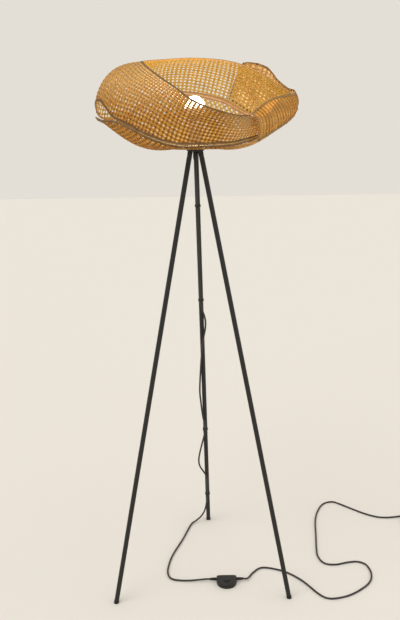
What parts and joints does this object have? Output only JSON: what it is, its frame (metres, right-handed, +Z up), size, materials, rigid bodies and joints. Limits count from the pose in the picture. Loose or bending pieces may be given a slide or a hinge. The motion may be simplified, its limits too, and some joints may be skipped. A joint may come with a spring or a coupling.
{
  "type": "floor lamp",
  "caption": "Tripod floor lamp with a low basket shade of woven rattan round one bulb, a mains cord with a foot switch, a tied coil and a plug.",
  "frame": {"origin": "on the floor under the middle of the lamp's own bounding box, without the free cord's pieces", "axes": "+Z up, +X to the right of the picture's view, +Y away from the camera"},
  "size_m": [1.1583, 0.6748, 1.6847],
  "materials": {
    "black_steel": "matt black paint",
    "black_plastic": "moulded, fine grain",
    "black_rubber": "smooth, dull",
    "zinc_steel": "zinc plated",
    "nickel_brass": "nickel plated brass",
    "brass": "bare",
    "rattan_strip": "natural rattan strips, slightly glossy",
    "rattan_rod": "round rattan, a little darker than the strips",
    "rattan_lace": "split rattan lacing",
    "white_plastic": "smooth",
    "opal_glass": "opal, lit"
  },
  "bodies": {
    "lamp": {"band_low_rod": "rattan_rod", "band_top_rod": "rattan_rod", "bowl_rim_rod": "rattan_rod", "bulb_cap": "nickel_brass", "bulb_glass": "opal_glass", "centre_contact": "brass", "coil_tie": "black_plastic", "cord_clip_foot": "black_plastic", "cord_clip_lower": "black_plastic", "cord_clip_top": "black_plastic", "cord_clip_upper": "black_plastic", "cord_coil": "black_rubber", "cord_drop": "black_rubber", "cord_end": "black_rubber", "cord_grip": "black_plastic", "cord_run": "black_rubber", "foot_back": "black_rubber", "foot_left": "black_rubber", "foot_right": "black_rubber", "hub": "black_steel", "inner_cord": "black_rubber", "lampholder_body": "white_plastic", "lampholder_cap": "white_plastic", "lampholder_insert": "white_plastic", "leg_back": "black_steel", "leg_left": "black_steel", "leg_right": "black_steel", "leg_screw_back": "zinc_steel", "leg_screw_left": "zinc_steel", "leg_screw_right": "zinc_steel", "lock_nut": "black_steel", "nipple": "zinc_steel", "plug_body": "black_plastic", "plug_pin_left": "nickel_brass", "plug_pin_right": "nickel_brass", "rivet_back": "black_plastic", "rivet_front": "black_plastic", "rivet_left": "black_plastic", "rivet_right": "black_plastic", "screw_shell": "nickel_brass", "seam_lace_back": "rattan_lace", "seam_lace_front": "rattan_lace", "seam_lace_left": "rattan_lace", "shade_carrier": "zinc_steel", "strain_relief_in": "black_rubber", "strain_relief_out": "black_rubber", "switch_base": "black_plastic", "switch_block": "white_plastic", "switch_cover": "black_plastic", "switch_screw_1": "zinc_steel", "switch_screw_2": "zinc_steel", "switch_spring": "zinc_steel", "woven_band": "rattan_strip", "woven_bowl": "rattan_strip", "woven_wrap": "rattan_strip", "wrap_edge_rod": "rattan_rod", "wrap_tie_back": "rattan_lace", "wrap_tie_front": "rattan_lace", "wrap_tie_right": "rattan_lace"},
    "button": {"switch_button": "black_plastic"}
  },
  "joints": [
    {"name": "switch_press", "type": "slide", "parent": "lamp", "child": "button", "axis": [0, 0, -1], "range_m": [0, 0.0025], "stiffness_N_per_m": 600, "springref_m": -0.001, "deforming": ["switch_spring"]}
  ]
}
